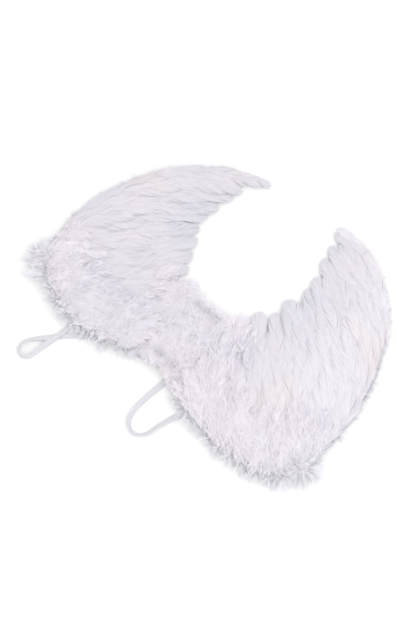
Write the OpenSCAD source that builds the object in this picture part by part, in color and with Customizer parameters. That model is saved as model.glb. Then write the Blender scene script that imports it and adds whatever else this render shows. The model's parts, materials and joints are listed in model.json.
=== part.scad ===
// Feathered costume wings, lying flat with the feather side up.
// +Y points to the wing tips, X runs from wing to wing, and Z = 0 is the face
// of the middle's back pad, which lies against the wearer's back.

/* [Wings] */
// Span of the pair, tuft to tuft
wing_span = 600; // [560:10:640]
// Height of the pair, base fluff to wing tips
wing_height = 412; // [390:2:430]
// Width of the middle section between the two fold lines
middle_w = 64; // [60:2:70]
// Thickness of the stiff boards
board_t = 2; // [1.6:0.2:2.2]
// Thickness of the felt backing
felt_t = 1; // [0.6:0.1:1.2]
// Diameter of the bent frame wire
wire_d = 1.8; // [1.4:0.2:1.8]

/* [Feathers] */
// Length of a long feather
feather_l = 105; // [90:5:110]
// Width of a long feather
feather_w = 28; // [22:1:30]
// Distance that each row sits behind the row under it
row_step = 36; // [30:2:38]

/* [Fluff] */
// Half width of the marabou trim at the base edge
marabou_r = 10; // [7:0.5:10.5]
// Half height of the marabou trim
marabou_h = 8; // [6:0.5:8.5]
// Diameter of the cord under the marabou trim
boa_cord_d = 2.4; // [1.6:0.2:3]

/* [Straps] */
// Width of the flat elastic
strap_w = 9; // [6:1:10]
// Thickness of the flat elastic
strap_t = 1.2; // [0.8:0.1:1.2]

/* [Hidden] */

$fn = 32;

// Heights, from the surface up
felt_z = 1.8;                       // underside of the wing felt, clear of the straps
board_z = felt_z + felt_t;          // underside of every board
board_top = board_z + board_t;
axis_z = board_z + board_t / 2;     // height of both fold axes
tape_t = 0.3;
feathers_z = board_top + 0.6;       // underside of the lowest row of feathers
vane_t = 0.45;                      // thickness of one feather
level_step = 0.7;                   // neighbours in a row lie on three levels
levels = 3;
row_z_step = level_step * levels + 0.1;
down_z = feathers_z + 5 * row_z_step + 0.2;
boa_z = felt_z + 0.3 + boa_cord_d / 2;
marabou_z = boa_z + boa_cord_d / 2 + 0.2 + marabou_h;
gap = 0.4;                          // clear space between soft neighbours

// Middle section
fold_x = middle_w / 2;
board_gap = 2;                      // from a fold axis to each board's edge
bead_r = 1;
middle_h = 88;
pad_w = middle_w - 16;
pad_h = 80;
tab_l = 6;                          // how far a strap tab stands out of the pad
tab_w = 14;

// Outlines of the right wing, as Bezier control points at the nominal size
kx = wing_span / 600;
ky = wing_height / 412;
function at(x, y) = [x * kx, y * ky];
board_base = [[fold_x + board_gap, -44], at(80, -58), at(190, -108), at(246, -52)];
board_outer = [at(246, -52), at(300, 96), at(220, 270), at(92, 284)];
board_inner = [at(92, 284), at(150, 205), at(124, 66), [fold_x + board_gap, 44]];
outer_edge = [at(262, -62), at(322, 100), at(234, 290), at(76, 304)];
base_edge = [at(46, -78), at(100, -98), at(208, -134), at(270, -62)];
feather_edge = [at(52, 70), at(118, 150), at(118, 212), at(72, 298)];
outline_steps = 18;

// Straps: [x, y, roll of the band in degrees] from the lower tab to the upper tab
right_route = [
    [20, -46, 0], [20, -60, 0], [21, -75, 0], [20, -92, 12], [17, -112, 24],
    [15, -132, 34], [15, -146, 40], [17, -160, 44], [25, -171, 46], [36, -175, 46],
    [47, -171, 44], [55, -161, 40], [59, -147, 34], [63, -133, 28], [69, -118, 16],
    [77, -103, 4], [88, -88, 0], [104, -74, 0], [124, -60, 0], [144, -44, 0],
    [158, -24, 0], [164, 0, 0], [156, 22, 0], [138, 38, 0], [114, 46, 0],
    [88, 46, 0], [64, 38, 0], [46, 30, 0], [30, 30, 0]
];
left_route = [
    [-20, -46, 0], [-20, -58, 0], [-30, -69, 0], [-48, -75, 0], [-68, -80, 0],
    [-88, -86, 0], [-106, -94, 0], [-122, -103, 0], [-138, -113, 0],
    [-151, -124, 0], [-163, -136, 0], [-175, -148, -12], [-187, -160, -36],
    [-196, -171, -56], [-200, -183, -64], [-196, -193, -68], [-186, -197, -68],
    [-176, -193, -66], [-172, -183, -56], [-170, -167, -28], [-167, -150, -6],
    [-163, -136, 0], [-160, -122, 0], [-157, -106, 0], [-154, -90, 0],
    [-149, -72, 0], [-140, -54, 0], [-128, -36, 0], [-114, -19, 0],
    [-98, -4, 0], [-80, 11, 0], [-62, 24, 0], [-46, 30, 0], [-30, 30, 0]
];
left_over = 21;                     // the point where the left band crosses itself
over_rise = 1.8;                    // how far it rises there
over_reach = 2.5;                   // points to each side over which it comes down
strap_lift = 0.2;                   // from the surface to a flat band's underside

// ---- curves and sweeps ----

function bezier(c, t) =
    let (u = 1 - t)
    u * u * u * c[0] + 3 * u * u * t * c[1] + 3 * u * t * t * c[2] + t * t * t * c[3];
function bezier_way(c, t) =
    let (u = 1 - t,
         d = u * u * (c[1] - c[0]) + 2 * u * t * (c[2] - c[1]) + t * t * (c[3] - c[2]))
    d / norm(d);
// Points along a curve, moved sideways to its right by out
function curve(c, steps, out = 0, from = 0, to = 1) =
    [for (i = [0:steps])
        let (t = from + (to - from) * i / steps, d = bezier_way(c, t))
        bezier(c, t) + out * [d.y, -d.x]];

function lift(path, z) = [for (p = path) [p.x, p.y, z]];
function way(path, i) =
    let (a = path[max(i - 1, 0)], b = path[min(i + 1, len(path) - 1)]) (b - a) / norm(b - a);
function swept_ring(path, i, a, b, roll, sides) =
    let (w = way(path, i), flat = norm([w.x, w.y]),
         side = [w.y, -w.x, 0] / flat, up = cross(side, w),
         s = cos(roll) * side + sin(roll) * up, u = cos(roll) * up - sin(roll) * side)
    [for (k = [0:sides - 1])
        path[i] + a * cos(360 * (k + 0.5) / sides) * s + b * sin(360 * (k + 0.5) / sides) * u];

// Closed solid along path: half widths a, half heights b and rolls, one for each point
module sweep(path, a, b, roll, sides = 8) {
    n = len(path);
    rings = [for (i = [0:n - 1]) each swept_ring(path, i, a[i], b[i], roll[i], sides)];
    walls = [for (i = [0:n - 2], k = [0:sides - 1])
        let (j = (k + 1) % sides, p = i * sides, q = p + sides)
        each [[p + k, q + k, q + j], [p + k, q + j, p + j]]];
    first = [for (k = [0:sides - 1]) k];
    last = [for (k = [sides - 1:-1:0]) (n - 1) * sides + k];
    polyhedron(points = rings, faces = concat(walls, [first, last]), convexity = 6);
}

// Plump soft solid along path, whose ends round off
module sausage(path, a, b, sides = 10, ends = 0.35) {
    n = len(path) - 1;
    swell = [for (i = [0:n]) let (e = abs(2 * i / n - 1)) ends + (1 - ends) * sqrt(1 - pow(e, 4))];
    sweep(path, a * swell, b * swell, [for (i = [0:n]) 0], sides);
}

module wire(path, r, sides = 8) {
    even = [for (p = path) r];
    sweep(path, even, even, 0 * even, sides);
}

module plate(w, h, t, r = 6) {
    linear_extrude(t) hull() {
        for (x = [-1, 1], y = [-1, 1])
            translate([x * (w / 2 - r), y * (h / 2 - r)]) circle(r);
    }
}

module on_left() {
    mirror([1, 0, 0]) children();
}

// ---- middle section ----

module back_pad() {
    color("whitesmoke") plate(pad_w, pad_h, board_z);
}

module centre_board() {
    color("gainsboro") translate([0, 0, board_z])
        plate(middle_w - 2 * board_gap, middle_h, board_t, 2);
}

module centre_down() {
    foot_inset = 6;
    crown_inset = 20;
    crown_z = 18;
    color("snow") hull() {
        translate([0, 0, board_top + tape_t + gap])
            plate(middle_w - 2 * foot_inset, middle_h - 2 * foot_inset, 1, 8);
        translate([0, 0, crown_z])
            plate(middle_w - 2 * crown_inset, middle_h - 2 * crown_inset, 1.5, 8);
    }
}

module middle_marabou(y, bow) {
    half = fold_x - 9;
    path = [for (i = [-6:6]) [half * i / 6, y + bow * (1 - pow(i / 6, 2)), marabou_z]];
    sausage(path, marabou_r * 0.7, marabou_h * 0.85, 10, 0.3);
}

module centre_top_marabou() {
    color("snow") middle_marabou(middle_h / 2 + 6.5, 2);
}

module centre_base_marabou() {
    color("snow") middle_marabou(-middle_h / 2 - 10, 3);
}

// Fabric hinge on the middle board, with its bead on the fold axis
module hinge_tape() {
    tape_w = 10;
    color("white") {
        translate([fold_x, middle_h / 2 - 4, axis_z]) rotate([90, 0, 0])
            cylinder(r = bead_r, h = middle_h - 8);
        translate([fold_x - tape_w, 4 - middle_h / 2, board_top])
            cube([tape_w, middle_h - 8, tape_t]);
    }
}

module left_hinge_tape() { on_left() hinge_tape(); }
module right_hinge_tape() { hinge_tape(); }

module strap_tabs() {
    tab_t = board_z - 0.1;
    color("white") {
        translate([pad_w / 2, 30 - tab_w / 2, 0]) cube([tab_l, tab_w, tab_t]);
        translate([pad_w / 2 - 4 - tab_w / 2, -pad_h / 2 - tab_l, 0])
            cube([tab_w, tab_l, tab_t]);
    }
}

module left_strap_tabs() { on_left() strap_tabs(); }
module right_strap_tabs() { strap_tabs(); }

// Flat elastic band: it lies flat, or leans on one edge where it turns
function band_z(roll, over) =
    strap_lift + strap_t / 2 + abs(sin(roll)) * (strap_w - strap_t) / 2 + over;
function hump(i, top) = over_rise * pow(max(0, 1 - abs(i - top) / over_reach), 0.7);

module band(route, top) {
    path = [for (i = [0:len(route) - 1])
        [route[i].x, route[i].y, band_z(route[i].z, top < 0 ? 0 : hump(i, top))]];
    a = [for (p = route) strap_w / 2];
    b = [for (p = route) strap_t / 2 / cos(22.5)];
    sweep(path, a, b, [for (p = route) p.z], 8);
}

module left_strap() { color("white") band(left_route, left_over); }
module right_strap() { color("white") band(right_route, -1); }

// ---- one wing, drawn on the +X side ----

module wing_outline() {
    polygon(concat(curve(board_base, outline_steps),
                   curve(board_outer, outline_steps),
                   curve(board_inner, outline_steps)));
}

module back_felt() {
    color("whitesmoke") translate([0, 0, felt_z]) linear_extrude(felt_t) wing_outline();
}

module wing_board() {
    color("gainsboro") translate([0, 0, board_z]) linear_extrude(board_t) wing_outline();
}

function wire_path() =
    let (out = wire_d / 2 + 0.7)
    lift(concat(curve(board_base, outline_steps, out, 0.06, 1),
                curve(board_outer, outline_steps + 6, out, 0, 0.97)), axis_z);

module frame_wire() {
    color("silver") wire(wire_path(), wire_d / 2);
}

// Short tapes across the wire, from the board's top
module wire_tapes() {
    tape_w = 14;
    tape_l = 16;
    color("ivory") for (c = [board_base, board_outer], t = [0.22, 0.5, 0.78]) {
        p = bezier(c, t);
        d = bezier_way(c, t);
        translate([p.x, p.y, board_top]) rotate(atan2(d.y, d.x))
            translate([-tape_w / 2, -wire_d - 0.8, 0]) cube([tape_w, tape_l, tape_t]);
    }
}

module hinge_flap() {
    color("white") translate([fold_x + board_gap, 4 - middle_h / 2, board_top])
        cube([10, middle_h - 8, tape_t]);
}

// Feathers point inwards and up, and lie flatter towards the wing tip
function lie(u) = 52 - 30 * u * u;
quill_share = 0.16;
round_at = 0.7;
function vane_half(t, w) = w / 2 * (t > round_at
    ? sqrt(1 - pow((t - round_at) / (1 - round_at), 2))
    : quill_share + (1 - quill_share) * sin(90 * t / round_at));

module vane(l, w) {
    n = 9;
    linear_extrude(vane_t) polygon(concat(
        [for (i = [0:n]) [vane_half(i / n, w), l * (i / n - 1)]],
        [for (i = [n - 1:-1:0]) [-vane_half(i / n, w), l * (i / n - 1)]]));
}

// One row: feathers whose ends lie set back from the wing's inner edge
module feather_row(row, count, from, to, l, w) {
    for (i = [0:count - 1]) {
        u = from + (to - from) * i / (count - 1);
        back = row * row_step * [cos(lie(u)), -sin(lie(u))];
        p = bezier(feather_edge, u) + back;
        z = feathers_z + row * row_z_step + (i % levels) * level_step;
        translate([p.x, p.y, z]) rotate(90 - lie(u)) vane(l, w);
    }
}

module primary_feathers() { color("ghostwhite") feather_row(0, 13, 0, 1, feather_l, feather_w); }
module secondary_feathers() {
    color("white") feather_row(1, 12, 0, 0.92, feather_l, feather_w);
}
module tertiary_feathers() {
    color("ghostwhite") feather_row(2, 11, 0, 0.78, feather_l, feather_w);
}
module covert_feathers() {
    color("white") feather_row(3, 9, 0.15, 0.62, feather_l * 0.95, feather_w);
}
module shoulder_feathers() {
    color("ghostwhite") feather_row(4, 7, 0.22, 0.5, feather_l * 0.72, feather_w * 0.9);
}

// Down pad over the lower third of the wing
module wing_down() {
    lobe_r = 14;
    corners = [at(66, 14), at(72, -50), at(150, -68), at(228, -48), at(244, -6)];
    color("snow") hull() {
        for (p = corners) translate([p.x, p.y, down_z]) {
            cylinder(r = lobe_r - 5, h = 2);
            translate([0, 0, 3]) cylinder(r1 = lobe_r, r2 = lobe_r / 2, h = 3);
        }
    }
}

// The trim's barbs are bound to a cord along its underside
function boa_path(z) = lift(curve(base_edge, 18, -marabou_r - 1, 0.03, 0.9), z);

module base_marabou() {
    color("snow") sausage(boa_path(marabou_z), marabou_r, marabou_h, 12, 0.45);
}

module boa_cord() {
    color("white") wire(boa_path(boa_z), boa_cord_d / 2);
}

module corner_tuft() {
    r = 18;
    slab = 2;
    color("snow") translate([wing_span / 2 - r, -50 * ky, 0]) hull() {
        cylinder(r = r * 0.6, h = slab);
        translate([0, 0, r / 2]) cylinder(r = r, h = slab);
        translate([0, 0, r + slab]) cylinder(r = r * 0.6, h = slab);
    }
}

module edge_fringe() {
    path = lift(curve(outer_edge, 30, -3.8, 0.1, 0.8), 4);
    color("whitesmoke") sausage(path, 3.6, 4, 8, 0.45);
}

module left_back_felt() { on_left() back_felt(); }
module right_back_felt() { back_felt(); }
module left_wing_board() { on_left() wing_board(); }
module right_wing_board() { wing_board(); }
module left_frame_wire() { on_left() frame_wire(); }
module right_frame_wire() { frame_wire(); }
module left_wire_tapes() { on_left() wire_tapes(); }
module right_wire_tapes() { wire_tapes(); }
module left_hinge_flap() { on_left() hinge_flap(); }
module right_hinge_flap() { hinge_flap(); }
module left_primary_feathers() { on_left() primary_feathers(); }
module right_primary_feathers() { primary_feathers(); }
module left_secondary_feathers() { on_left() secondary_feathers(); }
module right_secondary_feathers() { secondary_feathers(); }
module left_tertiary_feathers() { on_left() tertiary_feathers(); }
module right_tertiary_feathers() { tertiary_feathers(); }
module left_covert_feathers() { on_left() covert_feathers(); }
module right_covert_feathers() { covert_feathers(); }
module left_shoulder_feathers() { on_left() shoulder_feathers(); }
module right_shoulder_feathers() { shoulder_feathers(); }
module left_wing_down() { on_left() wing_down(); }
module right_wing_down() { wing_down(); }
module left_base_marabou() { on_left() base_marabou(); }
module right_base_marabou() { base_marabou(); }
module left_boa_cord() { on_left() boa_cord(); }
module right_boa_cord() { boa_cord(); }
module left_corner_tuft() { on_left() corner_tuft(); }
module right_corner_tuft() { corner_tuft(); }
module left_edge_fringe() { on_left() edge_fringe(); }
module right_edge_fringe() { edge_fringe(); }

back_pad();
centre_board();
centre_down();
centre_top_marabou();
centre_base_marabou();
left_hinge_tape();
right_hinge_tape();
left_strap_tabs();
right_strap_tabs();
left_strap();
right_strap();
left_back_felt();
right_back_felt();
left_wing_board();
right_wing_board();
left_frame_wire();
right_frame_wire();
left_wire_tapes();
right_wire_tapes();
left_hinge_flap();
right_hinge_flap();
left_primary_feathers();
right_primary_feathers();
left_secondary_feathers();
right_secondary_feathers();
left_tertiary_feathers();
right_tertiary_feathers();
left_covert_feathers();
right_covert_feathers();
left_shoulder_feathers();
right_shoulder_feathers();
left_wing_down();
right_wing_down();
left_base_marabou();
right_base_marabou();
left_boa_cord();
right_boa_cord();
left_corner_tuft();
right_corner_tuft();
left_edge_fringe();
right_edge_fringe();
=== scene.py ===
"""Feathered costume wings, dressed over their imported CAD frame."""
import json
import math

import bmesh
import bpy
import numpy as np
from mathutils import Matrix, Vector, geometry


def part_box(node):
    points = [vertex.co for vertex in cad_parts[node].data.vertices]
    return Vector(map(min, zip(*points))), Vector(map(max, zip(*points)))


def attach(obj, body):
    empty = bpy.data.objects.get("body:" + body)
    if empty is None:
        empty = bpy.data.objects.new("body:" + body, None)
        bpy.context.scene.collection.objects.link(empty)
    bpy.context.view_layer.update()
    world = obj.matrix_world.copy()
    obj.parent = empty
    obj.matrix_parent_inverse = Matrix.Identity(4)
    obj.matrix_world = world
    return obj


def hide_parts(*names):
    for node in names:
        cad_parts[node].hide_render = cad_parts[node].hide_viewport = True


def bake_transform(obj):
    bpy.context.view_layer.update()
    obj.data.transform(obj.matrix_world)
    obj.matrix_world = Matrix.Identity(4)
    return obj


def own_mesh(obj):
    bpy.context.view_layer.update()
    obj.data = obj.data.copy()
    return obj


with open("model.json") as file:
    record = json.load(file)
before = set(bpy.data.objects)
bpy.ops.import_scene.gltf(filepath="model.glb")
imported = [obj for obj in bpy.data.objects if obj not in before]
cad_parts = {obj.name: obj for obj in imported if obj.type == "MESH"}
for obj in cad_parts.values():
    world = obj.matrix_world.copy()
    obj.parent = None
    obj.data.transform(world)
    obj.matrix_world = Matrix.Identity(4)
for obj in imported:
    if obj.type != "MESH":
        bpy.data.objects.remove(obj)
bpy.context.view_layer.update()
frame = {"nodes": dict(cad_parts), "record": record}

MM = 0.001
SIDES = {"left": -1.0, "right": 1.0}


def box(node):
    low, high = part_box(node)
    return np.array(low, float), np.array(high, float)


# ---- camera

AZIMUTH, ELEVATION = 39.9, 71.5   # degrees
DISTANCE = 1.5
FRAME_HEIGHT = 1.035   # metres of floor that the picture's height covers
LOOK_AT = Vector((0.004, 0.053, 0.0))
SENSOR = 36.0


def add_object(name, data):
    thing = bpy.data.objects.new(name, data)
    bpy.context.scene.collection.objects.link(thing)
    return thing


def aim(name, data, azimuth, elevation, distance):
    """A camera or lamp that looks at the wings from these angles, in degrees."""
    a, e = math.radians(azimuth), math.radians(elevation)
    back = Vector((math.sin(a) * math.cos(e), -math.cos(a) * math.cos(e), math.sin(e)))
    thing = add_object(name, data)
    thing.location = LOOK_AT + back * distance
    thing.rotation_euler = back.to_track_quat("Z", "Y").to_euler()
    return thing


camera = bpy.data.cameras.new("camera")
camera.sensor_width = SENSOR
camera.lens = SENSOR * DISTANCE / FRAME_HEIGHT
bpy.context.scene.camera = aim("camera", camera, AZIMUTH, ELEVATION, DISTANCE)

# ---- mesh helpers


def set_values(mesh, name, values):
    """Gives a mesh one number for each vertex, for its material to read."""
    attribute = mesh.attributes.new(name, "FLOAT", "POINT")
    attribute.data.foreach_set("value", values.astype(np.float32))


def new_mesh(name, parts):
    """A smooth mesh from (verts, faces, shade) parts; shade is one number for each vertex."""
    parts = [(np.reshape(v, (-1, 3)), np.asarray(f), s) for v, f, s in parts]
    verts = np.concatenate([v for v, f, s in parts]).astype(np.float32)
    offsets = np.cumsum([0] + [len(v) for v, f, s in parts])
    corners = np.concatenate([(f + o).ravel() for (v, f, s), o in zip(parts, offsets)])
    sizes = np.concatenate([np.full(len(f), f.shape[1]) for v, f, s in parts])
    mesh = bpy.data.meshes.new(name)
    mesh.vertices.add(len(verts))
    mesh.vertices.foreach_set("co", verts.ravel())
    mesh.loops.add(len(corners))
    mesh.loops.foreach_set("vertex_index", corners.astype(np.int32))
    mesh.polygons.add(len(sizes))
    mesh.polygons.foreach_set("loop_start", (np.cumsum(sizes) - sizes).astype(np.int32))
    mesh.update(calc_edges=True)
    mesh.shade_smooth()
    shades = [np.broadcast_to(s, len(v)) for v, f, s in parts]
    set_values(mesh, "shade", np.clip(np.concatenate(shades), 0, 1))
    return mesh


def new_piece(name, mesh, material, nodes=()):
    """Links a new object and hides the CAD nodes it stands for."""
    mesh.materials.append(material)
    piece = add_object(name, mesh)
    if nodes:
        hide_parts(*nodes)
    return piece


def ribbons(points, widths, sideways, shade):
    """Flat strips through points (n, s, 3), with widths (n, s), sideways (n, s, 3)."""
    n, s = points.shape[:2]
    half = sideways * widths[..., None] / 2
    verts = np.stack([points - half, points + half], axis=2).reshape(-1, 3)
    step = np.arange(s - 1) * 2
    quads = np.stack([step, step + 1, step + 3, step + 2], axis=1)
    faces = (np.arange(n) * 2 * s)[:, None, None] + quads[None]
    return verts, faces.reshape(-1, 4), np.repeat(shade.reshape(n, s), 2, axis=1).ravel()


def mirrored(parts, sign):
    """Parts for the wing on the side of sign, with the faces still turned outwards."""
    if sign > 0:
        return parts
    flip = np.array([-1, 1, 1])
    return [(np.reshape(v, (-1, 3)) * flip, np.asarray(f)[:, ::-1], s) for v, f, s in parts]


def side_piece(side, name, parts, material, nodes=()):
    """One side's piece, from parts that are drawn on the +X side."""
    mesh = new_mesh(f"{side}_{name}", mirrored(parts, SIDES[side]))
    return new_piece(f"{side}_{name}", mesh, material, nodes)


def unit(v):
    return v / np.maximum(np.linalg.norm(v, axis=-1, keepdims=True), 1e-9)


def smooth_step(t):
    t = np.clip(t, 0, 1)
    return t * t * (3 - 2 * t)


def pointing(angle):
    """Directions in plan at these angles from +X, in radians."""
    return np.stack([np.cos(angle), np.sin(angle)], -1)


def heading_of(ways):
    return np.arctan2(ways[:, 1], ways[:, 0])


def beside(way):
    """Directions in plan a quarter turn clockwise from way."""
    return np.column_stack([way[:, 1], -way[:, 0]])


def grid_points(low, high, pitch):
    """A grid of points in plan between two corners."""
    xs, ys = (np.arange(low[i], high[i], pitch) for i in (0, 1))
    return np.stack(np.meshgrid(xs, ys), -1).reshape(-1, 2)


def uneven_grid(rng, low, high, pitch):
    """The same grid, with each point moved off it by chance."""
    grid = grid_points(low, high, pitch)
    return grid + rng.uniform(-0.5, 0.5, grid.shape) * pitch


# ---- materials


class Nodes:
    """A short way to write a material's node tree."""

    def __init__(self, name, roughness=0.6, sheen=0.0):
        self.material = bpy.data.materials.new(name)
        self.material.use_nodes = True
        self.tree = self.material.node_tree
        self.shader = self.tree.nodes["Principled BSDF"]
        self.shader.inputs["Roughness"].default_value = roughness
        self.shader.inputs["Sheen Weight"].default_value = sheen
        self.shader.inputs["Specular IOR Level"].default_value = 0.25
        self.place = self.add("ShaderNodeTexCoord").outputs["Object"]

    def add(self, kind, **settings):
        node = self.tree.nodes.new(kind)
        for key, value in settings.items():
            setattr(node, key, value)
        return node

    def join(self, source, target):
        self.tree.links.new(source, target)

    def feed(self, value, socket):
        """A socket takes a number, a colour or a node's output."""
        if isinstance(value, float):
            socket.default_value = value
        elif isinstance(value, tuple):
            socket.default_value = (*value, 1)
        else:
            self.join(value, socket)

    def noise(self, scale, detail=4.0, stretch=None):
        node = self.add("ShaderNodeTexNoise")
        node.inputs["Scale"].default_value = scale
        node.inputs["Detail"].default_value = detail
        place = self.place
        if stretch is not None:
            mapping = self.add("ShaderNodeMapping")
            mapping.inputs["Rotation"].default_value = (0, 0, math.radians(stretch[0]))
            mapping.inputs["Scale"].default_value = stretch[1]
            self.join(place, mapping.inputs["Vector"])
            place = mapping.outputs["Vector"]
        self.join(place, node.inputs["Vector"])
        return node.outputs["Fac"]

    def attribute(self, name):
        return self.add("ShaderNodeAttribute", attribute_name=name).outputs["Fac"]

    def ramp(self, source, stops):
        node = self.add("ShaderNodeValToRGB")
        elements = node.color_ramp.elements
        while len(elements) < len(stops):
            elements.new(0.5)
        for element, (at, colour) in zip(elements, stops):
            element.position = at
            element.color = (*colour, 1)
        self.join(source, node.inputs["Fac"])
        return node.outputs["Color"]

    def mix(self, fac, a, b):
        """a blended towards b, each of them a colour or a node's output."""
        node = self.add("ShaderNodeMix", data_type="RGBA")
        self.feed(fac, node.inputs["Factor"])
        for name, value in (("A", a), ("B", b)):
            self.feed(value, next(i for i in node.inputs if i.name == name and i.type == "RGBA"))
        return next(o for o in node.outputs if o.type == "RGBA")

    def maths(self, operation, a, b):
        node = self.add("ShaderNodeMath", operation=operation)
        for socket, value in zip(node.inputs, (a, b)):
            self.feed(value, socket)
        return node.outputs[0]

    def colour(self, source):
        self.join(source, self.shader.inputs["Base Color"])

    def rough(self, source, low, high):
        node = self.add("ShaderNodeMapRange")
        node.inputs["To Min"].default_value = low
        node.inputs["To Max"].default_value = high
        self.join(source, node.inputs["Value"])
        self.join(node.outputs["Result"], self.shader.inputs["Roughness"])

    def bump(self, source, distance, strength=0.6):
        node = self.add("ShaderNodeBump")
        node.inputs["Distance"].default_value = distance
        node.inputs["Strength"].default_value = strength
        self.join(source, node.inputs["Height"])
        self.join(node.outputs["Normal"], self.shader.inputs["Normal"])


def plumage(name, cool, middle, warm, patch, roughness=(0.5, 0.75), sheen=0.2):
    """Feather, down or marabou: each barb's own shade, with wide patches of a second tint."""
    m = Nodes(name, sheen=sheen)
    shade = m.attribute("shade")
    base = m.ramp(shade, [(0.0, cool), (0.5, middle), (1.0, warm)])
    wide = m.ramp(m.noise(9.0, 3.0), [(0.42, (0, 0, 0)), (0.68, (1, 1, 1))])
    tinted = m.mix(wide, base, patch)
    m.colour(m.mix(0.55, base, tinted))
    fine = m.noise(900.0, 2.0)
    m.rough(fine, *roughness)
    m.bump(fine, 0.0004, 0.35)
    return m.material


FEATHER = plumage("feather_vane", (0.66, 0.66, 0.72), (0.735, 0.705, 0.765), (0.83, 0.80, 0.85),
                  (0.80, 0.73, 0.76))
DOWN = plumage("down", (0.80, 0.765, 0.84), (0.955, 0.92, 0.975), (0.99, 0.965, 0.99),
               (0.97, 0.91, 0.95), sheen=0.4)
MARABOU = plumage("marabou", (0.79, 0.80, 0.86), (0.94, 0.92, 0.96), (0.99, 0.97, 0.99),
                  (0.95, 0.91, 0.95), sheen=0.4)
FRINGE = plumage("edge_fringe", (0.66, 0.67, 0.73), (0.78, 0.78, 0.83), (0.86, 0.85, 0.89),
                 (0.79, 0.78, 0.83))
HAIR = plumage("border_hair", (0.80, 0.81, 0.86), (0.90, 0.90, 0.94), (0.97, 0.96, 0.98),
               (0.90, 0.89, 0.93), sheen=0.4)


def woven(name, light, dark, scale, distance, roughness=(0.7, 0.9)):
    """Plain weave: two crossed sets of fine waves."""
    m = Nodes(name, sheen=0.15)
    waves = []
    for direction in ("X", "Y"):
        wave = m.add("ShaderNodeTexWave", bands_direction=direction)
        wave.inputs["Scale"].default_value = scale
        wave.inputs["Distortion"].default_value = 0.6
        m.join(m.place, wave.inputs["Vector"])
        waves.append(wave.outputs["Fac"])
    weave = m.maths("MULTIPLY", waves[0], waves[1])
    worn = m.noise(60.0)
    m.colour(m.mix(worn, m.ramp(weave, [(0.0, dark), (0.6, light)]), light))
    m.rough(worn, *roughness)
    m.bump(weave, distance)
    return m.material


def felted(name, light, dark):
    """Pressed felt: short matted fibres in every direction."""
    m = Nodes(name, sheen=0.3)
    fibres = m.maths("ADD", m.noise(1400.0, 3.0, (35, (1, 0.15, 1))),
                     m.noise(1100.0, 3.0, (-50, (0.15, 1, 1))))
    half = m.maths("MULTIPLY", fibres, 0.5)
    m.colour(m.mix(m.noise(25.0), m.ramp(half, [(0.3, dark), (0.65, light)]), light))
    m.rough(half, 0.8, 0.97)
    m.bump(half, 0.0005)
    return m.material


def grained(name, noise, dark, light, roughness, distance, metallic=0.0):
    """A hard material: one stretched grain gives its colour, roughness and relief."""
    m = Nodes(name)
    m.shader.inputs["Metallic"].default_value = metallic
    grain = m.noise(*noise)
    m.colour(m.ramp(grain, [(0.3, dark), (0.7, light)]))
    m.rough(grain, *roughness)
    m.bump(grain, distance)
    return m.material


def elastic_material():
    """Knitted elastic: ribs along the band and small stitches across it."""
    m = Nodes("knitted_elastic", sheen=0.2)
    across, along = m.attribute("across"), m.attribute("along")
    ribs = m.maths("SINE", m.maths("MULTIPLY", across, 44.0), 0.0)
    stitches = m.maths("SINE", m.maths("MULTIPLY", along, 3600.0), 0.0)
    knit = m.maths("ADD", ribs, m.maths("MULTIPLY", stitches, 0.5))
    half = m.maths("ADD", m.maths("MULTIPLY", knit, 0.3), 0.5)
    m.colour(m.ramp(half, [(0.1, (0.58, 0.58, 0.64)), (0.55, (0.76, 0.76, 0.80)),
                           (0.95, (0.84, 0.84, 0.87))]))
    m.rough(m.noise(300.0), 0.6, 0.85)
    m.bump(half, 0.0003)
    return m.material


FELT = felted("felt", (0.80, 0.79, 0.80), (0.64, 0.63, 0.65))
TAPE = woven("cotton_tape", (0.86, 0.85, 0.83), (0.62, 0.61, 0.60), 260.0, 0.0002)
THREAD = woven("thread", (0.82, 0.81, 0.80), (0.60, 0.59, 0.58), 900.0, 0.0001)
BOARD = grained("fibre_board", (500.0, 5.0, (20, (1, 0.3, 1))), (0.66, 0.65, 0.66),
                (0.78, 0.77, 0.79), (0.7, 0.9), 0.0002)
WIRE = grained("drawn_steel", (700.0, 3.0, (0, (1, 1, 0.2))), (0.42, 0.43, 0.45),
               (0.66, 0.67, 0.69), (0.25, 0.45), 0.00005, metallic=1.0)
ELASTIC = elastic_material()

# ---- straps

STRAP_W, STRAP_T = 9 * MM, 1.2 * MM
STRAP_LIFT = 0.2 * MM
# [x, y, roll of the band in degrees] from the lower tab to the upper tab, in millimetres
ROUTES = {
    "right": [
        (20, -46, 0), (20, -60, 0), (21, -75, 0), (20, -92, 12), (17, -112, 24),
        (15, -132, 34), (15, -146, 40), (17, -160, 44), (25, -171, 46), (36, -175, 46),
        (47, -171, 44), (55, -161, 40), (59, -147, 34), (63, -133, 28), (69, -118, 16),
        (77, -103, 4), (88, -88, 0), (104, -74, 0), (124, -60, 0), (144, -44, 0),
        (158, -24, 0), (164, 0, 0), (156, 22, 0), (138, 38, 0), (114, 46, 0),
        (88, 46, 0), (64, 38, 0), (46, 30, 0), (30, 30, 0)],
    "left": [
        (-20, -46, 0), (-20, -58, 0), (-30, -69, 0), (-48, -75, 0), (-68, -80, 0),
        (-88, -86, 0), (-106, -94, 0), (-122, -103, 0), (-138, -113, 0),
        (-151, -124, 0), (-163, -136, 0), (-175, -148, -12), (-187, -160, -36),
        (-196, -171, -56), (-200, -183, -64), (-196, -193, -68), (-186, -197, -68),
        (-176, -193, -66), (-172, -183, -56), (-170, -167, -28), (-167, -150, -6),
        (-163, -136, 0), (-160, -122, 0), (-157, -106, 0), (-154, -90, 0),
        (-149, -72, 0), (-140, -54, 0), (-128, -36, 0), (-114, -19, 0),
        (-98, -4, 0), (-80, 11, 0), (-62, 24, 0), (-46, 30, 0), (-30, 30, 0)],
}
OVER = {"left": 21}   # the route point where the band crosses itself
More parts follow.
